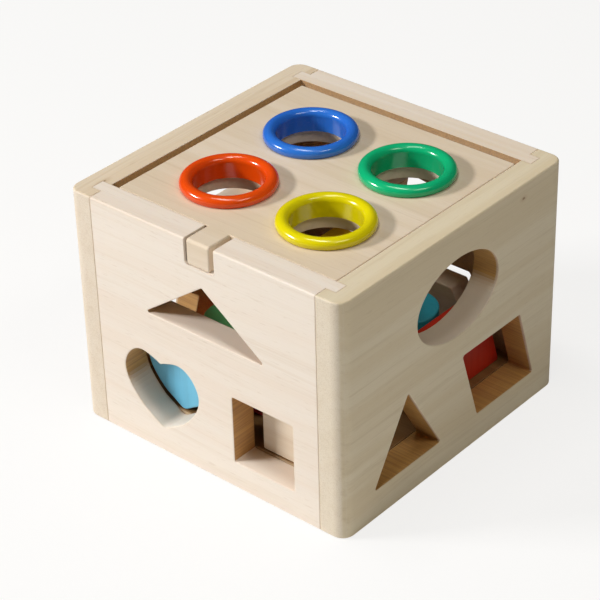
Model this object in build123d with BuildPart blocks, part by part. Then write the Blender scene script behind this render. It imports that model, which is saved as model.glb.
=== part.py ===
from build123d import *
import math
import os

os.makedirs("parts", exist_ok=True)

# Wooden shape sorter box with a lift-off lid, four plastic rings and sixteen blocks.
# Millimetres. X runs along the front face, Y runs from front to back, Z is up.
# The origin is the centre of the underside.

# ---------------------------------------------------------------- driving dimensions
BOX = 147.0            # outside width and depth
WALL_H = 113.5         # height of the wooden walls
OVERALL_H = 118.0      # top of the plastic rings
WALL_T = 13.0          # thickness of the wall boards
CORNER_R = 6.0         # rounding of the four outer vertical corners
ARRIS = 0.9            # sanded outer edges
SEAM = 0.35            # softened edges beside a glue line
HOLE_EDGE = 0.45       # softened rim of the shape holes
OVERCUT = 1.0          # how far a cut runs past the wood

TONGUE_L = 5.0         # tongues on the ends of the front and back boards
TONGUE_T = 6.4
JOINT_GAP = 0.05       # glue line

FLOOR_TOP = 14.5       # upper face of the base board
BASE_T = 13.0
BASE_CHAMFER = 0.5

LID_TOP = 113.4
LID_T = 11.4
LID_W = 117.0          # smaller than the 121 mm cavity; lies in its front right corner
LID_PLAY = 0.3
LID_CORNER_R = 1.0
LID_EDGE = 0.5
LID_HOLE_R = 17.1
TAB_W = 12.2           # finger tab on the front edge of the lid
TAB_X = -1.0
TAB_FRONT = 0.5        # tab stands this far behind the front face
TAB_ROOT = 10.0        # overlap of the tab with the lid
TAB_TOP_R = 1.6
TAB_SIDE_R = 0.8
NOTCH_X0, NOTCH_X1 = -7.9, 8.1   # notch for the tab, in the front board
NOTCH_DROP = 0.5       # notch floor below the underside of the tab
NOTCH_ABOVE = 10.0     # notch cutter above the wall, so its upper rounding cuts nothing
NOTCH_R = 2.0

REST_LEG = 15.0        # glue blocks under the lid's corners
REST_H = 14.0
REST_CHAMFER = 0.8

RING_CX, RING_CY = 4.0, -4.0
RING_PITCH = 52.4
RING_OUT_R = 20.8
RING_BORE_R = 15.0
FLANGE_RISE = 1.9      # widest level of the flange above the lid
COLLAR_OUT_R = 17.0
COLLAR_DEPTH = 5.2
COLLAR_BEVEL_R, COLLAR_BEVEL_Z = 0.4, 0.6

BLOCK_T = 12.0         # thickness of the flat blocks
BLOCK_GAP = 1.2        # a polygonal block's outline is this much inside its hole's outline
BLOCK_CORNER = 1.2     # rounding of a polygonal block's outline
BLOCK_EDGE = 0.8
FINE_EDGE = 0.6 * BLOCK_EDGE
LIFT_OFF_FLOOR = 0.05
PEG_R = 13.9           # round pegs for the rings
PEG_H = 34.0

# ---------------------------------------------------------------- derived values
HALF = BOX / 2
INNER = HALF - WALL_T
LID_UNDER = LID_TOP - LID_T
LID_X = INNER - LID_PLAY - LID_W / 2
LID_FRONT = -INNER + LID_PLAY
BLOCK_Z = FLOOR_TOP + LIFT_OFF_FLOOR

# corner name: direction of the corner along X and Y
CORNERS = {
    "front_left": (-1, -1),
    "front_right": (1, -1),
    "back_left": (-1, 1),
    "back_right": (1, 1),
}
RING_AT = {
    corner: (RING_CX + side_x * RING_PITCH / 2, RING_CY + side_y * RING_PITCH / 2)
    for corner, (side_x, side_y) in CORNERS.items()
}

# each wall's outer face, seen from outside: local x to the viewer's right, local y up
FRONT = Plane(origin=(0, -HALF, 0), x_dir=(1, 0, 0), z_dir=(0, -1, 0))
RIGHT = Plane(origin=(HALF, 0, 0), x_dir=(0, 1, 0), z_dir=(1, 0, 0))
BACK = Plane(origin=(0, HALF, 0), x_dir=(-1, 0, 0), z_dir=(0, 1, 0))
LEFT = Plane(origin=(-HALF, 0, 0), x_dir=(0, -1, 0), z_dir=(-1, 0, 0))


def save(builder, name):
    """Label the builder's part and write its STEP file."""
    builder.part.label = name
    export_step(builder.part, f"parts/{name}.step")


# ---------------------------------------------------------------- points of the outlines
# Each outline is drawn about x = 0 with its base on y = 0. Points are (x, y).
# The star's lower tips lie a little above or below y = 0 once rounded.
WIDE_TRIANGLE_POINTS = [(-33.0, 0), (33.0, 0), (0, 24.0)]
TRIANGLE_POINTS = [(-22.0, 0), (22.0, 0), (0, 36.6)]
PARALLELOGRAM_POINTS = [(-14.75, 0), (25.75, 0), (14.75, 35.2), (-25.75, 35.2)]
TRAPEZOID_POINTS = [(-21.0, 0), (21.0, 0), (13.0, 33.0), (-13.0, 33.0)]

# right half of the heart, from the dip at the top to just beside the point at the foot
HEART_POINTS = [
    (0, 32.4), (3.6, 34.0), (11.4, 35.5), (20.75, 25.6),
    (17.0, 12.9), (11.8, 7.0), (2.179, 0.645),
]
HEART_ENDS = [(1.0, 0.62), (-0.8387, -0.5446)]   # tangents at the two ends
HEART_SCALE = 0.925    # the heart block against its hole

SQUARE_SIDE = 32.6
SQUARE_CORNER = 0.8
ELLIPSE_RX, ELLIPSE_RY = 27.25, 18.75
HALF_DISC_R = 27.2
PENTAGON_R = 18.5
PENTAGON_MID = PENTAGON_R * math.cos(math.radians(36))
HEXAGON_H = 34.0       # across the flats
HEXAGON_R = HEXAGON_H / math.sqrt(3)
CROSS_SPAN = 36.0
CROSS_ARM = 13.6
STAR_OUT, STAR_IN = 19.8, 9.6
STAR_MID = STAR_OUT * math.cos(math.radians(36))


def points_round(radii, start, mid_y):
    """Evenly turned points about (0, mid_y), one for each radius, from the start angle."""
    step = 360 / len(radii)
    angles = [math.radians(start + step * k) for k in range(len(radii))]
    return [(r * math.cos(a), r * math.sin(a) + mid_y) for r, a in zip(radii, angles)]


PENTAGON_POINTS = points_round([PENTAGON_R] * 5, 90, PENTAGON_MID)
HEXAGON_POINTS = points_round([HEXAGON_R] * 6, 0, HEXAGON_H / 2)
STAR_POINTS = points_round([STAR_OUT, STAR_IN] * 5, 90, STAR_MID)

ARM_X = CROSS_ARM / 2
SPAN_X = CROSS_SPAN / 2
ARM_LOW, ARM_HIGH = SPAN_X - ARM_X, SPAN_X + ARM_X
CROSS_POINTS = [
    (-ARM_X, 0), (ARM_X, 0), (ARM_X, ARM_LOW), (SPAN_X, ARM_LOW),
    (SPAN_X, ARM_HIGH), (ARM_X, ARM_HIGH), (ARM_X, CROSS_SPAN), (-ARM_X, CROSS_SPAN),
    (-ARM_X, ARM_HIGH), (-SPAN_X, ARM_HIGH), (-SPAN_X, ARM_LOW), (-ARM_X, ARM_LOW),
]


# ---------------------------------------------------------------- outlines of the shape holes
def rounded_polygon(points, corner):
    with BuildSketch() as outline:
        with BuildLine():
            Polyline(*points, close=True)
        make_face()
        fillet(outline.vertices(), radius=corner)
    return outline


def heart(scale):
    """A heart: a spline for each half, joined by a small arc at the foot."""
    points = [(scale * x, scale * y) for x, y in HEART_POINTS]
    foot_x, foot_y = points[-1]
    with BuildSketch() as outline:
        with BuildLine():
            right_half = Spline(*points, tangents=HEART_ENDS)
            mirror(right_half, about=Plane.YZ)
            ThreePointArc((foot_x, foot_y), (0, 0), (-foot_x, foot_y))
        make_face()
    return outline


wide_triangle_hole = rounded_polygon(WIDE_TRIANGLE_POINTS, 0.8)
triangle_hole = rounded_polygon(TRIANGLE_POINTS, 0.8)
parallelogram_hole = rounded_polygon(PARALLELOGRAM_POINTS, 1.0)
trapezoid_hole = rounded_polygon(TRAPEZOID_POINTS, 1.5)
star_hole = rounded_polygon(STAR_POINTS, 1.2)
heart_hole = heart(1)
heart_block_outline = heart(HEART_SCALE)

with BuildSketch() as square_hole:
    with Locations((0, SQUARE_SIDE / 2)):
        RectangleRounded(SQUARE_SIDE, SQUARE_SIDE, SQUARE_CORNER)

with BuildSketch() as ellipse_hole:
    with Locations((0, ELLIPSE_RY)):
        Ellipse(ELLIPSE_RX, ELLIPSE_RY)

with BuildSketch() as half_disc_hole:
    with BuildLine():
        ThreePointArc((-HALF_DISC_R, 0), (0, HALF_DISC_R), (HALF_DISC_R, 0))
        Line((HALF_DISC_R, 0), (-HALF_DISC_R, 0))
    make_face()
    fillet(half_disc_hole.vertices(), radius=1.2)

with BuildSketch() as pentagon_hole:
    with Locations((0, PENTAGON_MID)):
        RegularPolygon(PENTAGON_R, 5, rotation=90)
    fillet(pentagon_hole.vertices(), radius=1.2)

with BuildSketch() as hexagon_hole:
    with Locations((0, HEXAGON_H / 2)):
        RegularPolygon(HEXAGON_R, 6)
    fillet(hexagon_hole.vertices(), radius=1.2)

with BuildSketch() as cross_hole:
    with Locations((0, CROSS_SPAN / 2)):
        Rectangle(CROSS_SPAN, CROSS_ARM)
        Rectangle(CROSS_ARM, CROSS_SPAN)
    fillet(cross_hole.vertices(), radius=1.0)

# where each outline's origin sits on its wall: (local x, height)
HEART_AT = (-25.75, 12.7)
SQUARE_AT = (30.75, 13.3)
PARALLELOGRAM_AT = (30.25, 14.4)
CROSS_AT = (-27.0, 14.4)
HEXAGON_AT = (-25.0, 14.4)
TRAPEZOID_AT = (28.5, 14.4)

FRONT_HOLES = [(wide_triangle_hole, (0.5, 69.0)), (heart_hole, HEART_AT), (square_hole, SQUARE_AT)]
BACK_HOLES = [(star_hole, (0.0, 62.0)), (hexagon_hole, HEXAGON_AT), (trapezoid_hole, TRAPEZOID_AT)]
RIGHT_HOLES = [
    (ellipse_hole, (1.0, 61.75)),
    (triangle_hole, (-32.0, 14.4)),
    (parallelogram_hole, PARALLELOGRAM_AT),
]
LEFT_HOLES = [(half_disc_hole, (-1.0, 70.0)), (pentagon_hole, (30.0, 14.4)), (cross_hole, CROSS_AT)]


# ---------------------------------------------------------------- wall boards
def hole_rims(panel, axis):
    """Edges of the holes on both broad faces of a board that faces along the axis."""
    sides = panel.faces().filter_by(axis).group_by(axis)
    low_face = sides[0].sort_by(SortBy.AREA)[-1]
    high_face = sides[-1].sort_by(SortBy.AREA)[-1]
    return low_face.inner_wires().edges() + high_face.inner_wires().edges()


def tongued_board(name, side, wall, holes, notched):
    """Front (side -1) or back (side 1) board, with a tongue on each end."""
    outer = -1 if side > 0 else 0    # index of the outer group when sorted along Y
    with BuildPart() as panel:
        with BuildSketch(Plane.XY):
            with Locations((0, side * (HALF - WALL_T / 2))):
                Rectangle(2 * (INNER - JOINT_GAP), WALL_T)
            with Locations((0, side * (INNER + TONGUE_T / 2))):
                Rectangle(2 * (INNER + TONGUE_L - JOINT_GAP), TONGUE_T)
        extrude(amount=WALL_H)
        if notched:
            notch_floor = LID_UNDER - NOTCH_DROP
            notch_top = WALL_H + NOTCH_ABOVE
            with BuildSketch(wall):
                with Locations(((NOTCH_X0 + NOTCH_X1) / 2, (notch_floor + notch_top) / 2)):
                    RectangleRounded(NOTCH_X1 - NOTCH_X0, notch_top - notch_floor, NOTCH_R)
            extrude(amount=-WALL_T - OVERCUT, mode=Mode.SUBTRACT)
        for level in (-1, 0):    # top, then foot
            level_edges = panel.edges().filter_by(Axis.X).group_by(Axis.Z)[level]
            fillet(level_edges.group_by(Axis.Y)[outer], radius=ARRIS)
        for end in (0, -1):    # the notch's upright edges lie between the two ends
            uprights = panel.edges().filter_by(Axis.Z).group_by(Axis.Y)[outer]
            fillet(uprights.sort_by(Axis.X)[end], radius=SEAM)
        with BuildSketch(wall):
            for outline, place in holes:
                with Locations(place):
                    add(outline.sketch)
        extrude(amount=-WALL_T - OVERCUT, mode=Mode.SUBTRACT)
        fillet(hole_rims(panel, Axis.Y), radius=HOLE_EDGE)
    save(panel, name)


def grooved_board(name, side, wall, holes):
    """Left (side -1) or right (side 1) board, full depth, grooved for the tongues."""
    outer = -1 if side > 0 else 0    # index of the outer edges when sorted along X
    inner = -1 - outer
    with BuildPart() as panel:
        with BuildSketch(Plane.XY):
            with Locations((side * (HALF - WALL_T / 2), 0)):
                Rectangle(WALL_T, BOX)
        extrude(amount=WALL_H)
        fillet(panel.edges().filter_by(Axis.Z).group_by(Axis.X)[outer], radius=CORNER_R)
        for level in (-1, 0):    # top, then foot
            level_edges = panel.faces().sort_by(Axis.Z)[level].edges().filter_by(Axis.Y)
            fillet(level_edges.sort_by(Axis.X)[outer], radius=ARRIS)
        fillet(panel.edges().filter_by(Axis.Z).group_by(Axis.X)[inner], radius=SEAM)
        groove_x = side * (INNER + TONGUE_L / 2)
        groove_y = INNER + TONGUE_T / 2
        with BuildSketch(Plane.XY.offset(-OVERCUT)):
            with Locations((groove_x, -groove_y), (groove_x, groove_y)):
                Rectangle(TONGUE_L + 2 * JOINT_GAP, TONGUE_T + 2 * JOINT_GAP)
        extrude(amount=WALL_H + 2 * OVERCUT, mode=Mode.SUBTRACT)
        with BuildSketch(wall):
            for outline, place in holes:
                with Locations(place):
                    add(outline.sketch)
        extrude(amount=-WALL_T - OVERCUT, mode=Mode.SUBTRACT)
        fillet(hole_rims(panel, Axis.X), radius=HOLE_EDGE)
    save(panel, name)


tongued_board("front_panel", -1, FRONT, FRONT_HOLES, notched=True)
tongued_board("back_panel", 1, BACK, BACK_HOLES, notched=False)
grooved_board("right_panel", 1, RIGHT, RIGHT_HOLES)
grooved_board("left_panel", -1, LEFT, LEFT_HOLES)

# ---------------------------------------------------------------- base board, inside the walls
with BuildPart() as base_panel:
    with BuildSketch(Plane.XY.offset(FLOOR_TOP - BASE_T)):
        Rectangle(2 * (INNER - JOINT_GAP), 2 * (INNER - JOINT_GAP))
    extrude(amount=BASE_T)
    chamfer(base_panel.edges().group_by(Axis.Z)[0], length=BASE_CHAMFER)
save(base_panel, "base_panel")


# ---------------------------------------------------------------- glue blocks under the lid
def lid_rest(name, side_x, side_y):
    """Three-cornered glue block in one corner of the box."""
    far = INNER - JOINT_GAP
    near = far - REST_LEG
    with BuildPart() as rest:
        with BuildSketch(Plane.XY.offset(LID_UNDER - REST_H)):
            with BuildLine():
                Polyline(
                    (side_x * far, side_y * far),
                    (side_x * near, side_y * far),
                    (side_x * far, side_y * near),
                    close=True,
                )
            make_face()
        extrude(amount=REST_H)
        chamfer(rest.edges().group_by(Axis.Z)[0], length=REST_CHAMFER)
    save(rest, name)


for corner, (side_x, side_y) in CORNERS.items():
    lid_rest(f"lid_rest_{corner}", side_x, side_y)

# ---------------------------------------------------------------- lid board with its finger tab
tab_y0 = -HALF + TAB_FRONT
tab_y1 = LID_FRONT + TAB_ROOT
with BuildPart() as lid_board:
    with BuildSketch(Plane.XY.offset(LID_UNDER)):
        with Locations((LID_X, LID_FRONT + LID_W / 2)):
            RectangleRounded(LID_W, LID_W, LID_CORNER_R)
        with Locations((TAB_X, (tab_y0 + tab_y1) / 2)):
            Rectangle(TAB_W, tab_y1 - tab_y0)
    extrude(amount=LID_T)
    with BuildSketch(Plane.XY.offset(LID_UNDER)):
        with Locations((RING_CX, RING_CY)):
            with GridLocations(RING_PITCH, RING_PITCH, 2, 2):
                Circle(LID_HOLE_R)
    extrude(amount=LID_T, mode=Mode.SUBTRACT)
    tab_face = lid_board.faces().sort_by(Axis.Y)[0]
    fillet(tab_face.edges().filter_by(Axis.X).sort_by(Axis.Z)[-1], radius=TAB_TOP_R)
    tab_face = lid_board.faces().sort_by(Axis.Y)[0]
    fillet(tab_face.edges().filter_by(Axis.Z), radius=TAB_SIDE_R)
    top_edges = lid_board.faces().sort_by(Axis.Z)[-1].edges()
    # the back edge's fillet runs on round the rounded corners to the tab
    fillet(top_edges.filter_by(Axis.X).sort_by(Axis.Y)[-1], radius=LID_EDGE)
save(lid_board, "lid_board")

# ---------------------------------------------------------------- plastic rings
# A rounded flange lies on the lid; a thin collar reaches into the hole.
FLANGE_W = RING_OUT_R - RING_BORE_R
FLANGE_MID = (RING_OUT_R + RING_BORE_R) / 2
FLANGE_MID_Z = LID_TOP + FLANGE_RISE
FLANGE_RZ = OVERALL_H - FLANGE_MID_Z
FOOT_ANGLE = math.degrees(math.asin(FLANGE_RISE / FLANGE_RZ))   # where the flange meets the lid
FOOT_R = FLANGE_MID + FLANGE_W / 2 * math.cos(math.radians(FOOT_ANGLE))
COLLAR_FOOT = LID_TOP - COLLAR_DEPTH

with BuildSketch() as ring_profile:
    with BuildLine():
        EllipticalCenterArc(
            (FLANGE_MID, FLANGE_MID_Z),
            FLANGE_W / 2,
            FLANGE_RZ,
            start_angle=-FOOT_ANGLE,
            arc_size=180 + FOOT_ANGLE,
        )
        Polyline(
            (RING_BORE_R, FLANGE_MID_Z),
            (RING_BORE_R, COLLAR_FOOT),
            (COLLAR_OUT_R - COLLAR_BEVEL_R, COLLAR_FOOT),
            (COLLAR_OUT_R, COLLAR_FOOT + COLLAR_BEVEL_Z),
            (COLLAR_OUT_R, LID_TOP),
            (FOOT_R, LID_TOP),
        )
    make_face()


def ring(name, x, y):
    with BuildPart() as body:
        with BuildSketch(Plane(origin=(x, y, 0), x_dir=(1, 0, 0), z_dir=(0, -1, 0))):
            add(ring_profile.sketch)
        revolve(axis=Axis((x, y, 0), (0, 0, 1)))
    save(body, name)


ring("ring_red", *RING_AT["front_left"])
ring("ring_yellow", *RING_AT["front_right"])
ring("ring_blue", *RING_AT["back_left"])
ring("ring_green", *RING_AT["back_right"])


# ---------------------------------------------------------------- polygonal blocks
def block_face(points, corner):
    """A sharp hole outline drawn in by BLOCK_GAP, with rounded corners."""
    with BuildSketch() as face:
        with BuildLine():
            Polyline(*points, close=True)
        make_face()
        offset(amount=-BLOCK_GAP, kind=Kind.INTERSECTION, mode=Mode.REPLACE)
        fillet(face.vertices(), radius=corner)
    return face.sketch


def polygon_block(
    name, points, plane, axis, x, depth, corner=BLOCK_CORNER, edge=FINE_EDGE, drop=0.0
):
    """Block standing on the base board at local x of the plane, facing along the axis."""
    with BuildPart() as block:
        with BuildSketch(plane):
            with Locations((x, BLOCK_Z - BLOCK_GAP - drop)):
                add(block_face(points, corner))
        extrude(amount=depth)
        fillet(block.faces().filter_by(axis).edges(), radius=edge)
    save(block, name)


# ---------------------------------------------------------------- blocks behind their own holes
BLOCK_SET = WALL_T + 0.3     # block's outer face behind the wall's outer face
PARALLELOGRAM_SET = 17.1
HEART_SHIFT = -0.9           # the heart block stands to the left of its hole
SQUARE_BLOCK = 28.0          # the square block is slacker in its hole
SQUARE_BLOCK_CORNER = 1.0
SQUARE_SHIFT = 1.9           # and stands to the right of it

with BuildPart() as heart_block:
    with BuildSketch(FRONT.offset(-BLOCK_SET)):
        with Locations((HEART_AT[0] + HEART_SHIFT, BLOCK_Z)):
            add(heart_block_outline.sketch)
    extrude(amount=-BLOCK_T)
    fillet(heart_block.faces().filter_by(Axis.Y).edges(), radius=BLOCK_EDGE)
save(heart_block, "heart_block")

with BuildPart() as square_block:
    with BuildSketch(FRONT.offset(-BLOCK_SET)):
        with Locations((SQUARE_AT[0] + SQUARE_SHIFT, BLOCK_Z + SQUARE_BLOCK / 2)):
            RectangleRounded(SQUARE_BLOCK, SQUARE_BLOCK, SQUARE_BLOCK_CORNER)
    extrude(amount=-BLOCK_T)
    fillet(square_block.faces().filter_by(Axis.Y).edges(), radius=BLOCK_EDGE)
save(square_block, "square_block")

polygon_block(
    "parallelogram_block", PARALLELOGRAM_POINTS, RIGHT.offset(-PARALLELOGRAM_SET), Axis.X,
    x=PARALLELOGRAM_AT[0], depth=-BLOCK_T, edge=0.8 * BLOCK_EDGE,
)
polygon_block(
    "cross_block", CROSS_POINTS, LEFT.offset(-BLOCK_SET), Axis.X,
    x=CROSS_AT[0], depth=-BLOCK_T,
)
polygon_block(
    "hexagon_block", HEXAGON_POINTS, BACK.offset(-BLOCK_SET), Axis.Y,
    x=HEXAGON_AT[0], depth=-BLOCK_T,
)
polygon_block(
    "trapezoid_block", TRAPEZOID_POINTS, BACK.offset(-BLOCK_SET), Axis.Y,
    x=TRAPEZOID_AT[0], depth=-BLOCK_T,
)

# ---------------------------------------------------------------- loose blocks among the pegs
# Lanes A and B run front to back between the left and right pegs.
# Lanes C and D run along X between the front and back pegs, to the left of lane A.
FACING_RIGHT = Plane(origin=(0, 0, 0), x_dir=(0, 1, 0), z_dir=(1, 0, 0))    # local x is Y
FACING_BACK = Plane(origin=(0, 0, 0), x_dir=(-1, 0, 0), z_dir=(0, 1, 0))    # local x is -X
LANE_A = FACING_RIGHT.offset(-8.1)
LANE_B = FACING_RIGHT.offset(4.1)
LANE_C = FACING_BACK.offset(-16.1)
LANE_D = FACING_BACK.offset(-3.9)
ELLIPSE_Y = -21.0
STAR_DROP = 1.71    # the star's rounded feet would otherwise stand clear of the base board

polygon_block(
    "wide_triangle_block", WIDE_TRIANGLE_POINTS, LANE_A, Axis.X, x=-17.0, depth=BLOCK_T
)
polygon_block("pentagon_block", PENTAGON_POINTS, LANE_A, Axis.X, x=30.5, depth=BLOCK_T)
polygon_block(
    "star_block", STAR_POINTS, LANE_B, Axis.X,
    x=25.5, depth=BLOCK_T, corner=0.7, edge=0.5 * BLOCK_EDGE, drop=STAR_DROP,
)
polygon_block("triangle_block", TRIANGLE_POINTS, LANE_C, Axis.Y, x=32.0, depth=BLOCK_T)

with BuildPart() as ellipse_block:
    with BuildSketch(LANE_B):
        with Locations((ELLIPSE_Y, BLOCK_Z + ELLIPSE_RY - BLOCK_GAP)):
            Ellipse(ELLIPSE_RX - BLOCK_GAP, ELLIPSE_RY - BLOCK_GAP)
    extrude(amount=BLOCK_T)
    fillet(ellipse_block.faces().filter_by(Axis.X).edges(), radius=BLOCK_EDGE)
save(ellipse_block, "ellipse_block")

HALF_DISC_BLOCK_R = HALF_DISC_R - 1.35
HALF_DISC_X = 34.35    # local x in lane D
half_disc_start = (HALF_DISC_X - HALF_DISC_BLOCK_R, BLOCK_Z)
half_disc_top = (HALF_DISC_X, BLOCK_Z + HALF_DISC_BLOCK_R)
half_disc_end = (HALF_DISC_X + HALF_DISC_BLOCK_R, BLOCK_Z)
with BuildPart() as half_disc_block:
    with BuildSketch(LANE_D) as half_disc_sketch:
        with BuildLine():
            ThreePointArc(half_disc_start, half_disc_top, half_disc_end)
            Line(half_disc_end, half_disc_start)
        make_face()
        fillet(half_disc_sketch.vertices(), radius=1.0)
    extrude(amount=BLOCK_T)
    fillet(half_disc_block.faces().filter_by(Axis.Y).edges(), radius=FINE_EDGE)
save(half_disc_block, "half_disc_block")


# ---------------------------------------------------------------- round pegs, one under each ring
def peg(name, place):
    with BuildPart() as body:
        with BuildSketch(Plane.XY.offset(BLOCK_Z)):
            with Locations(place):
                Circle(PEG_R)
        extrude(amount=PEG_H)
        fillet(body.faces().filter_by(Axis.Z).edges(), radius=BLOCK_EDGE)
    save(body, name)


for corner, place in RING_AT.items():
    peg(f"peg_{corner}", place)
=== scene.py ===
"""Shape sorter box: procedural materials, floor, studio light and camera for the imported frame.

Metres, +Z up. The box stands upright round the Z axis: its front panel faces -Y, its right
panel +X. The floor lies just under the lowest point of the pieces.
"""

import bpy
from mathutils import Matrix, Vector

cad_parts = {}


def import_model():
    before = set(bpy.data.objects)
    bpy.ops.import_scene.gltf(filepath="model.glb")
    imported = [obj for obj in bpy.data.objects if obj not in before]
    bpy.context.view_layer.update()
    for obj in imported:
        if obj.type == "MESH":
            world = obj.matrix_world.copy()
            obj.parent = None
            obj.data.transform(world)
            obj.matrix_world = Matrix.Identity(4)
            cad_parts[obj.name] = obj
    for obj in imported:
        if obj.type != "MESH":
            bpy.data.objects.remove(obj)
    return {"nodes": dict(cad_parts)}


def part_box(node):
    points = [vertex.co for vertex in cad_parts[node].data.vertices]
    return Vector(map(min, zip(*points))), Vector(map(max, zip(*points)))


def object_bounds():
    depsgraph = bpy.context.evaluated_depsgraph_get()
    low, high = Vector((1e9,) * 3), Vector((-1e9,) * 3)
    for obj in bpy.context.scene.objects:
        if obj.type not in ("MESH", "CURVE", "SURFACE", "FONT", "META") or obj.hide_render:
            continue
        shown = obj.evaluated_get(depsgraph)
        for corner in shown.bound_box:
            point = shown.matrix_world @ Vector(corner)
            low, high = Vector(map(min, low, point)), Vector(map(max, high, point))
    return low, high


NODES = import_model()["nodes"]
cad_low, cad_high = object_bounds()

# Bounds of the masks that tell the parts of a panel apart: (start, end) of each fade
INNER_SPAN = (0.0595, 0.0605)  # half width of the area with holes, across the panel
HOLES_BOTTOM = (0.008, 0.010)  # Z
HOLES_TOP = (0.1000, 0.1004)  # Z
INSIDE_REACH = (0.0606, 0.0612)  # larger of |X| and |Y| at the inner faces
OUTER_REACH = (0.072, 0.0725)  # larger of |X| and |Y| at the outer faces
SIDE_LEDGE_HEIGHT = (0.054, 0.060)  # Z above which upward-facing hole walls of side panels get painted light
FRONT_LEDGE_HEIGHT = (0.0, 0.001)  # the same for the front and back panels
BASE_TOP = (0.0138, 0.0142)  # Z of the base board's top, darkened as painted shade

FLOOR_HALF = 6.0
FLOOR_GAP = 0.0002  # floor below the lowest piece
LIGHT_TARGET = Vector((0, 0, 0.055))


# ------------------------------------------------------------------ node helpers
class Tree:
    """Node tree of a material or world. An input is given as a value or as a socket to link."""

    def __init__(self, owner):
        self.owner = owner
        owner.use_nodes = True
        self.tree = owner.node_tree
        self.tree.nodes.clear()

    def add(self, kind, inputs=None, **properties):
        node = self.tree.nodes.new(kind)
        for key, value in properties.items():
            setattr(node, key, value)
        for key, value in (inputs or {}).items():
            socket = node.inputs[key]
            if isinstance(value, bpy.types.NodeSocket):
                self.tree.links.new(value, socket)
            elif socket.type == "RGBA":
                socket.default_value = (*value, 1.0)
            else:
                socket.default_value = value
        return node

    def shader(self, kind, inputs):
        return self.add(kind, inputs).outputs[0]

    def mix_shader(self, factor, first, second):
        return self.shader("ShaderNodeMixShader", {0: factor, 1: first, 2: second})


class MaterialTree(Tree):
    """A material's tree, with short calls for the nodes used here."""

    def __init__(self, name):
        super().__init__(bpy.data.materials.new(name))
        self.position = self.add("ShaderNodeTexCoord").outputs["Object"]

    def finish(self, shader):
        self.add("ShaderNodeOutputMaterial", {"Surface": shader})
        return self.owner

    def principled(self, inputs):
        return self.shader("ShaderNodeBsdfPrincipled", inputs)

    def math(self, operation, first, second=0.0):
        return self.add("ShaderNodeMath", {0: first, 1: second}, operation=operation).outputs[0]

    def multiply(self, first, second):
        return self.math("MULTIPLY", first, second)

    def vector_math(self, operation, *values, output="Vector"):
        inputs = dict(enumerate(values))
        return self.add("ShaderNodeVectorMath", inputs, operation=operation).outputs[output]

    def separate(self, vector):
        return self.add("ShaderNodeSeparateXYZ", {0: vector}).outputs

    def mapped(self, vector, scale=(1, 1, 1), shift=(0, 0, 0)):
        inputs = {"Vector": vector, "Scale": scale, "Location": shift}
        return self.add("ShaderNodeMapping", inputs, vector_type="POINT").outputs[0]

    def noise(self, vector, detail, rough=0.55, output="Fac"):
        inputs = {"Vector": vector, "Scale": 1.0, "Detail": detail, "Roughness": rough}
        return self.add("ShaderNodeTexNoise", inputs, noise_dimensions="3D").outputs[output]

    def even_noise(self, vector, scale, **settings):
        return self.noise(self.mapped(vector, (scale, scale, scale)), **settings)

    def grain_noise(self, vector, axis, along, across, **settings):
        """Noise with its own frequency along one axis."""
        scale = [across, across, across]
        scale["xyz".index(axis)] = along
        return self.noise(self.mapped(vector, scale), **settings)

    def fade(self, value, over, to=(0.0, 1.0), smooth=False):
        """Map the range `over` to the range `to`."""
        inputs = {
            "Value": value,
            "From Min": over[0],
            "From Max": over[1],
            "To Min": to[0],
            "To Max": to[1],
        }
        interpolation = "SMOOTHSTEP" if smooth else "LINEAR"
        node = self.add("ShaderNodeMapRange", inputs, interpolation_type=interpolation)
        return node.outputs["Result"]

    def mix(self, factor, first, second):
        inputs = {0: factor, 6: first, 7: second}
        node = self.add("ShaderNodeMix", inputs, data_type="RGBA", blend_type="MIX")
        return node.outputs[2]

    def bump(self, height, strength, distance, normal=None):
        inputs = {"Strength": strength, "Distance": distance, "Height": height}
        if normal is not None:
            inputs["Normal"] = normal
        return self.add("ShaderNodeBump", inputs).outputs[0]

    def bevel(self, radius, samples):
        return self.add("ShaderNodeBevel", {"Radius": radius}, samples=samples).outputs[0]

    def edge(self, radius, over):
        """1 near edges, 0 on flats: how far a bevelled normal leans from the true one."""
        rounded = self.bevel(radius, samples=6)
        normal = self.add("ShaderNodeNewGeometry").outputs["Normal"]
        agreement = self.vector_math("DOT_PRODUCT", rounded, normal, output="Value")
        return self.fade(self.math("SUBTRACT", 1.0, agreement), over=over)


def srgb(*display):
    """0..255 display values to linear."""
    levels = (value / 255.0 for value in display)
    return tuple(
        level / 12.92 if level <= 0.04045 else ((level + 0.055) / 1.055) ** 2.4
        for level in levels
    )


def tint(colour, gain, lift=0.0):
    return tuple(min(1.0, level * gain + lift) for level in colour)


# ------------------------------------------------------------------ wood
def add_knot(tree, colour, fleck, centre, radius, squeeze):
    """A small pin knot or scar: dark core with a soft halo."""
    offset = tree.vector_math("SUBTRACT", tree.position, centre)
    squeezed = tree.vector_math("MULTIPLY", offset, squeeze)
    distance = tree.vector_math("LENGTH", squeezed, output="Value")
    wobble = tree.multiply(tree.math("SUBTRACT", fleck, 0.5), radius * 0.9)
    distance = tree.math("ADD", distance, wobble)
    core = tree.fade(distance, over=(radius * 0.35, radius), to=(0.85, 0.0), smooth=True)
    colour = tree.mix(core, colour, srgb(122, 88, 58))
    halo = tree.fade(distance, over=(radius, radius * 2.4), to=(0.30, 0.0), smooth=True)
    return tree.mix(halo, colour, srgb(190, 158, 120))


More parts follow.
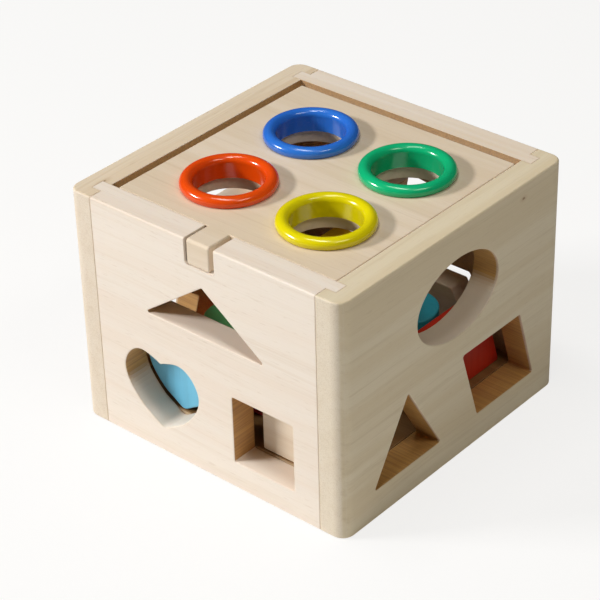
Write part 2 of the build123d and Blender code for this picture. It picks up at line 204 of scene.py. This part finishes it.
def add_end_grain(tree, colour, normal, reach):
    """Front ends of the side boards: greyer, with pores instead of streaks."""
    front_end = tree.fade(normal["Y"], over=(-0.5, -0.8), to=(0.0, 0.55))
    outer = tree.fade(reach, over=OUTER_REACH)
    pores = tree.even_noise(tree.position_in_board, 2400, detail=2.0)
    pore_mask = tree.fade(pores, over=(0.45, 0.7))
    tone = tree.mix(pore_mask, srgb(232, 221, 207), srgb(212, 197, 178))
    return tree.mix(tree.multiply(front_end, outer), colour, tone)


def add_sawn_and_shaded_faces(tree, colour, place, face, sawn):
    """Hole walls and faces inside the box: browner than the sanded outside, partly the cut
    wood's own tone and partly painted shade for the dim holes and box interior. Upward-facing
    hole walls get painted light instead.
    """
    geometry = tree.add("ShaderNodeNewGeometry")
    normal = tree.separate(geometry.outputs["True Normal"])
    flat = tree.math("ABSOLUTE", normal[face.upper()])
    wall = tree.fade(flat, over=(0.35, 0.75), to=(1.0, 0.0))
    reach = tree.math(
        "MAXIMUM",
        tree.math("ABSOLUTE", place["X"]),
        tree.math("ABSOLUTE", place["Y"]),
    )
    sideways = tree.math("ABSOLUTE", place["Y" if face == "x" else "X"])
    inner = tree.fade(sideways, over=INNER_SPAN, to=(1.0, 0.0))
    low = tree.fade(place["Z"], over=HOLES_BOTTOM)
    high = tree.fade(place["Z"], over=HOLES_TOP, to=(1.0, 0.0))
    sawn_and_shaded_mask = tree.multiply(tree.multiply(wall, inner), tree.multiply(low, high))
    if sawn:
        # painted shade: the box's inner faces are browned to stand for the dim inside of the box
        inside = tree.fade(reach, over=INSIDE_REACH, to=(1.0, 0.0))
        sawn_and_shaded_mask = tree.math("MAXIMUM", sawn_and_shaded_mask, tree.multiply(inside, 0.8))
    else:
        sawn_and_shaded_mask = tree.multiply(sawn_and_shaded_mask, 0.0)
    marks = tree.grain_noise(tree.position_in_board, face, along=30.0, across=1500.0, detail=2.0)
    tone = tree.mix(tree.fade(marks, over=(0.35, 0.7)), srgb(198, 148, 70), srgb(166, 113, 44))

    # upward-facing walls: painted light, paler where light from above falls on them
    upper = tree.fade(place["Z"], over=SIDE_LEDGE_HEIGHT if face == "x" else FRONT_LEDGE_HEIGHT)
    lit_upward = tree.multiply(tree.fade(normal["Z"], over=(0.25, 0.75), smooth=True), upper)
    not_lit_upward = tree.math("SUBTRACT", 1.0, tree.multiply(lit_upward, 0.8))
    # hole walls and inner faces turn browner: partly the cut wood's own tone and partly painted
    # shade
    sawn_tone_and_shade = tree.multiply(tree.multiply(sawn_and_shaded_mask, not_lit_upward), 0.88)
    colour = tree.mix(sawn_tone_and_shade, colour, tone)
    painted_light_ledge = tree.multiply(tree.multiply(sawn_and_shaded_mask, lit_upward), 0.7)
    colour = tree.mix(painted_light_ledge, colour, srgb(246, 236, 224))
    if face == "x":
        colour = add_end_grain(tree, colour, normal, reach)
    return colour


def add_pale_underside(tree, colour, place, band):
    """The base board is pale stock below its top, which is darkened as painted shade for the dim
    floor inside the box.
    """
    under = tree.fade(place["Z"], over=BASE_TOP, to=(0.78, 0.0))
    banding = tree.fade(band, over=(0.38, 0.66), smooth=True)
    return tree.mix(under, colour, tree.mix(banding, srgb(226, 208, 178), srgb(210, 186, 150)))


def wood(name, grain, face, shift, tones, contrast, sawn=False, painted_shade_top=False, knots=()):
    """Pale softwood. grain is the axis of the fibres, face the axis across the board, shift
    moves each board to its own piece of tree, and tones are light, mid and dark."""
    tree = MaterialTree(name)
    light, mid, dark = (srgb(*tone) for tone in tones)
    board = tree.position_in_board = tree.mapped(tree.position, shift=shift)

    # slow wander so that no line is straight
    wander = tree.grain_noise(
        board, grain, along=5.0, across=14.0, detail=2.0, rough=0.5, output="Color"
    )
    warped = tree.vector_math("MULTIPLY_ADD", wander, (0.012, 0.012, 0.012), board)

    # growth bands, finer bands, fibres, short flecks and soft clouds
    band = tree.grain_noise(warped, grain, along=1.6, across=95.0, detail=2.0, rough=0.5)
    fine = tree.grain_noise(warped, grain, along=4.0, across=420.0, detail=3.0, rough=0.6)
    fibre = tree.grain_noise(warped, grain, along=45.0, across=2600.0, detail=2.0, rough=0.5)
    fleck = tree.grain_noise(warped, grain, along=160.0, across=1500.0, detail=1.0, rough=0.4)
    cloud = tree.even_noise(board, 18, detail=2.0)

    colour = tree.mix(tree.fade(band, over=(0.38, 0.66), smooth=True), light, mid)
    for mask, strength, streak in (
        (tree.fade(fine, over=(0.50, 0.74), smooth=True), 0.34, dark),
        (tree.fade(fibre, over=(0.52, 0.80)), 0.22, dark),
        (tree.fade(fleck, over=(0.66, 0.76)), 0.17, srgb(176, 146, 110)),
    ):
        colour = tree.mix(tree.multiply(mask, strength * contrast), colour, streak)
    colour = tree.mix(tree.fade(cloud, over=(0.30, 0.72), to=(0.0, 0.10)), colour, mid)
    for knot in knots:
        colour = add_knot(tree, colour, fleck, **knot)

    place = tree.separate(tree.position)
    if face in ("x", "y"):
        colour = add_sawn_and_shaded_faces(tree, colour, place, face, sawn)
    if painted_shade_top:
        colour = add_pale_underside(tree, colour, place, band)

    # handled edges: slightly darker, yellower and smoother
    edge = tree.edge(radius=0.0011, over=(0.0, 0.12))
    worn = tree.multiply(edge, tree.fade(cloud, over=(0.35, 0.65), to=(0.12, 0.34)))
    colour = tree.mix(worn, colour, srgb(205, 174, 134))
    rough = tree.fade(fibre, over=(0.3, 0.8), to=(0.50, 0.64))
    rough = tree.math("SUBTRACT", rough, tree.multiply(edge, 0.10))

    normal = tree.bevel(radius=0.0003, samples=4)
    normal = tree.bump(fibre, strength=0.16, distance=0.00025, normal=normal)
    normal = tree.bump(fine, strength=0.10, distance=0.0004, normal=normal)
    return tree.finish(tree.principled({
        "Base Color": colour,
        "Roughness": rough,
        "Specular IOR Level": 0.32,
        "Subsurface Weight": 0.04,
        "Subsurface Radius": (0.0012, 0.0008, 0.0004),
        "Normal": normal,
    }))


# ------------------------------------------------------------------ paint and plastic
def paint(name, display_colour, shift):
    """Thin satin paint on upright grain: the grain still shows, and the edges are rubbed."""
    tree = MaterialTree(name)
    base = srgb(*display_colour)
    piece = tree.mapped(tree.position, shift=shift)
    fibre = tree.grain_noise(piece, "z", along=40.0, across=1500.0, detail=3.0, rough=0.6)
    band = tree.grain_noise(piece, "z", along=3.0, across=260.0, detail=2.0)
    mottle = tree.even_noise(piece, 160, detail=4.0, rough=0.6)
    brush = tree.grain_noise(piece, "z", along=12.0, across=700.0, detail=2.0)

    banding = tree.fade(band, over=(0.35, 0.7), to=(0.0, 0.30), smooth=True)
    colour = tree.mix(banding, base, tint(base, gain=0.72))
    mottling = tree.fade(mottle, over=(0.35, 0.7), to=(0.0, 0.16))
    colour = tree.mix(mottling, colour, tint(base, gain=1.25, lift=0.02))
    streaks = tree.fade(fibre, over=(0.60, 0.82), to=(0.0, 0.35))
    colour = tree.mix(streaks, colour, tint(base, gain=0.5))

    # bare wood where the paint has chipped off the edges
    edge = tree.edge(radius=0.0010, over=(0.01, 0.14))
    chip = tree.multiply(edge, tree.fade(mottle, over=(0.52, 0.60), to=(0.0, 0.75)))
    colour = tree.mix(chip, colour, srgb(214, 184, 146))
    rough = tree.fade(brush, over=(0.3, 0.75), to=(0.37, 0.52))
    rough = tree.math("ADD", rough, tree.multiply(chip, 0.15))

    normal = tree.bump(fibre, strength=0.22, distance=0.0002)
    normal = tree.bump(mottle, strength=0.10, distance=0.0002, normal=normal)
    return tree.finish(tree.principled({
        "Base Color": colour,
        "Roughness": rough,
        "Specular IOR Level": 0.45,
        "Coat Weight": 0.12,
        "Coat Roughness": 0.30,
        "Normal": normal,
    }))


def ring_scuffs(tree, centre):
    """Fine scuffs running round the Z axis through centre."""
    offset = tree.separate(tree.vector_math("SUBTRACT", tree.position, centre))
    turn = tree.math("ARCTAN2", offset["Y"], offset["X"])
    squares = [tree.multiply(offset[axis], offset[axis]) for axis in "XY"]
    radius = tree.math("SQRT", tree.math("ADD", *squares))
    # low frequency round the ring, high across it
    round_ring, across_ring = 1.6, 2200.0
    ring = tree.add("ShaderNodeCombineXYZ", {
        0: tree.multiply(turn, round_ring),
        1: tree.multiply(radius, across_ring),
        2: tree.multiply(offset["Z"], across_ring),
    })
    return tree.noise(ring.outputs[0], detail=2.0, rough=0.7)


def plastic(name, display_colour, display_deep_and_shade, centre, shift):
    """Glossy moulded plastic: colour flow, painted shade towards the silhouette, faint orange
    peel, fine rubbed scratches.
    """
    tree = MaterialTree(name)
    base, deep_and_shade = srgb(*display_colour), srgb(*display_deep_and_shade)
    piece = tree.mapped(tree.position, shift=shift)
    flow = tree.grain_noise(piece, "z", along=25, across=60, detail=2.0)
    peel = tree.even_noise(piece, 420, detail=2.0, rough=0.5)
    dust = tree.even_noise(piece, 1800, detail=1.0)
    scuff = ring_scuffs(tree, centre)

    colour = tree.mix(tree.fade(flow, over=(0.3, 0.7), to=(0.0, 0.18)), base, deep_and_shade)
    # painted shade: the colour darkens towards the silhouette, standing for the shade on the
    # ring's curved sides
    facing = tree.add("ShaderNodeLayerWeight", {"Blend": 0.35}).outputs["Facing"]
    colour = tree.mix(tree.multiply(facing, 0.45), colour, deep_and_shade)
    rough = tree.fade(scuff, over=(0.45, 0.75), to=(0.16, 0.28))
    dusting = tree.fade(dust, over=(0.55, 0.75), to=(0.0, 0.08))

    normal = tree.bump(peel, strength=0.05, distance=0.0003)
    normal = tree.bump(scuff, strength=0.04, distance=0.0001, normal=normal)
    return tree.finish(tree.principled({
        "Base Color": colour,
        "Roughness": tree.math("ADD", rough, dusting),
        "Specular IOR Level": 0.5,
        "Subsurface Weight": 0.08,
        "Subsurface Radius": (0.002, 0.002, 0.002),
        "Coat Weight": 0.25,
        "Coat Roughness": 0.12,
        "Normal": normal,
    }))


# ------------------------------------------------------------------ which piece gets what
def give(node, material):
    data = NODES[node].data
    data.materials.clear()
    data.materials.append(material)
    for polygon in data.polygons:
        polygon.material_index = 0


right_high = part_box("right_panel")[1]
left_low, left_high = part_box("left_panel")
RIGHT_KNOT = {
    "centre": (right_high.x, 0.0445, 0.107),
    "radius": 0.0011,
    "squeeze": (1.0, 0.75, 1.3),
}
LEFT_KNOT = {
    "centre": (left_low.x + 0.0085, left_low.y + 0.0125, left_high.z),
    "radius": 0.0009,
    "squeeze": (1.0, 0.34, 1.0),
}
SAWN_AND_SHADED = {"sawn": True}
REST_TONES = ((222, 200, 166), (210, 184, 148), (180, 150, 112))
RESTS = ("front_left", "front_right", "back_left", "back_right")

# piece, grain axis, face axis, shift, (light, mid, dark), contrast, other settings
WOODS = [
    ("front_panel", "x", "y", (0.31, 0.12, 0.07),
     ((239, 228, 215), (237, 223, 208), (219, 200, 178)), 1.0, SAWN_AND_SHADED),
    ("back_panel", "x", "y", (1.47, 0.55, 0.33),
     ((239, 228, 215), (226, 207, 182), (219, 200, 178)), 1.0, SAWN_AND_SHADED),
    ("right_panel", "y", "x", (0.83, 0.91, 0.19),
     ((226, 213, 186), (219, 203, 172), (192, 172, 136)), 0.9, {**SAWN_AND_SHADED, "knots": [RIGHT_KNOT]}),
    ("left_panel", "y", "x", (0.22, 1.63, 0.41),
     ((230, 214, 190), (222, 202, 174), (196, 170, 136)), 1.0, {**SAWN_AND_SHADED, "knots": [LEFT_KNOT]}),
    # base board: dark tones are painted shade for the floor inside the box
    ("base_panel", "x", "z", (0.67, 0.29, 0.87),
     ((150, 114, 70), (134, 98, 56), (104, 72, 40)), 1.1, {"painted_shade_top": True}),
    *(("lid_rest_" + corner, "z", "x", (0.4 * k + 0.1, 0.37, 0.5), REST_TONES, 1.2, {})
      for k, corner in enumerate(RESTS)),
    ("lid_board", "x", "z", (0.95, 0.44, 0.63),
     ((229, 213, 192), (222, 204, 179), (198, 176, 146)), 0.8, {}),
    ("hexagon_block", "x", "y", (2.3, 0.1, 0.7),
     ((236, 218, 192), (228, 206, 176), (204, 178, 144)), 0.9, {}),
    ("square_block", "x", "y", (1.9, 0.8, 0.2),
     ((234, 220, 200), (226, 208, 184), (204, 180, 150)), 0.8, {}),
]
for node, *stock, extras in WOODS:
    wood_name = "wood_" + node.removesuffix("_panel").removesuffix("_board")
    give(node, wood(wood_name, *stock, **extras))

PAINTS = {
    "heart_block": (118, 200, 236),
    "parallelogram_block": (206, 42, 18),
    "cross_block": (30, 92, 178),
    "trapezoid_block": (238, 196, 30),
    "wide_triangle_block": (200, 36, 16),
    "pentagon_block": (34, 138, 70),
    "ellipse_block": (30, 90, 176),
    "star_block": (240, 196, 32),
    "triangle_block": (236, 128, 26),
    "half_disc_block": (204, 40, 20),
    "peg_front_left": (104, 204, 132),
    "peg_front_right": (240, 200, 36),
    "peg_back_left": (204, 40, 20),
    "peg_back_right": (44, 164, 186),
}
for k, (node, colour) in enumerate(sorted(PAINTS.items())):
    give(node, paint("paint_" + node, colour, shift=(0.37 * k, 0.21 * k, 0.13)))

# ring: colour, darker colour for the flow and the painted shade
RINGS = {
    "ring_red": ((242, 86, 10), (206, 40, 0)),
    "ring_yellow": ((236, 224, 4), (196, 176, 0)),
    "ring_blue": ((50, 126, 226), (8, 48, 168)),
    "ring_green": ((16, 192, 128), (2, 128, 80)),
}
for k, (node, (colour, deep_and_shade)) in enumerate(RINGS.items()):
    ring_low, ring_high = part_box(node)
    centre = (ring_low + ring_high) / 2
    give(node, plastic("plastic_" + node, colour, deep_and_shade, centre, shift=(0.2 * k, 0.1, 0.3)))


# ------------------------------------------------------------------ floor, light, camera
def link_object(name, data):
    obj = bpy.data.objects.new(name, data)
    bpy.context.scene.collection.objects.link(obj)
    return obj


def floor_material():
    tree = MaterialTree("floor_pale")
    speck = tree.fade(
        tree.even_noise(tree.position, 60, detail=2.0), over=(0.3, 0.7), to=(0.0, 0.02)
    )
    paper = tree.principled({
        "Base Color": tree.mix(speck, (0.92, 0.92, 0.92), (0.88, 0.88, 0.88)),
        "Roughness": 0.9,
        "Specular IOR Level": 0.1,
    })
    # pale studio paper: lifted for the camera, plain diffuse for the light it bounces
    glow = tree.shader("ShaderNodeEmission", {"Color": (1.0, 0.995, 0.985)})
    rays = tree.add("ShaderNodeLightPath").outputs
    lifted = tree.mix_shader(tree.multiply(rays["Is Camera Ray"], 0.78), paper, glow)
    # open from below, so that the underside can be looked at
    back = tree.add("ShaderNodeNewGeometry").outputs["Backfacing"]
    clear = tree.shader("ShaderNodeBsdfTransparent", {})
    hidden = tree.math("MAXIMUM", back, rays["Is Shadow Ray"])
    return tree.finish(tree.mix_shader(hidden, lifted, clear))


def stage_floor():
    mesh = bpy.data.meshes.new("floor")
    corners = ((-1, -1), (1, -1), (1, 1), (-1, 1))
    points = [(x * FLOOR_HALF, y * FLOOR_HALF, 0) for x, y in corners]
    mesh.from_pydata(points, [], [(0, 1, 2, 3)])
    obj = link_object("floor", mesh)
    obj.location = (0, 0, cad_low.z - FLOOR_GAP)
    mesh.materials.append(floor_material())


def add_area(name, direction, distance, size, watts, colour):
    """Rectangular light, its other side left at the default; direction is where it shines."""
    heading = Vector(direction).normalized()
    lamp = bpy.data.lights.new(name, "AREA")
    lamp.shape = "RECTANGLE"
    lamp.size = size
    lamp.energy = watts
    lamp.color = colour
    obj = link_object(name, lamp)
    obj.location = LIGHT_TARGET - heading * distance
    obj.rotation_euler = heading.to_track_quat("-Z", "Y").to_euler()


def add_world():
    """White to the camera, a faint cool fill to everything else."""
    world = bpy.data.worlds.new("studio")
    bpy.context.scene.world = world
    tree = Tree(world)
    fill, white = (
        tree.shader("ShaderNodeBackground", {"Color": colour, "Strength": strength})
        for colour, strength in (((0.95, 0.97, 1.0), 0.035), ((1, 1, 1), 1.0))
    )
    camera_ray = tree.add("ShaderNodeLightPath").outputs["Is Camera Ray"]
    tree.add("ShaderNodeOutputWorld", {"Surface": tree.mix_shader(camera_ray, fill, white)})


def add_camera():
    data = bpy.data.cameras.new("camera")
    data.sensor_width = 36.0
    data.lens = 131.5704
    data.clip_start = 0.05
    data.clip_end = 30.0
    camera = link_object("camera", data)
    right = (0.760933, 0.648408, -0.023416)
    up = (-0.334996, 0.423526, 0.841667)
    back = (0.555660, -0.632608, 0.539489)
    pose = Matrix((right, up, back)).transposed().to_4x4()
    pose.translation = (0.519141, -0.604212, 0.561110)
    camera.matrix_world = pose
    bpy.context.scene.camera = camera


stage_floor()
# name, direction, distance, size, watts, colour
LIGHTS = (
    ("key", (1.04, 1.00, -0.76), 2.6, 0.66, 55.0, (1.0, 0.985, 0.965)),
    ("upper_right", (-0.70, 0.12, -1.0), 1.5, 0.60, 4.2, (1.0, 0.95, 0.84)),
    ("top", (0.05, 0.16, -1.0), 1.5, 0.80, 8.0, (1.0, 0.985, 0.96)),
    ("under", (0.0, 0.0, 1.0), 1.5, 1.0, 5.0, (1.0, 0.99, 0.97)),
)
for light in LIGHTS:
    add_area(*light)
add_world()

view = bpy.context.scene.view_settings
view.view_transform = "Standard"
view.look = "None"
view.exposure = 0.0
view.gamma = 1.0
add_camera()
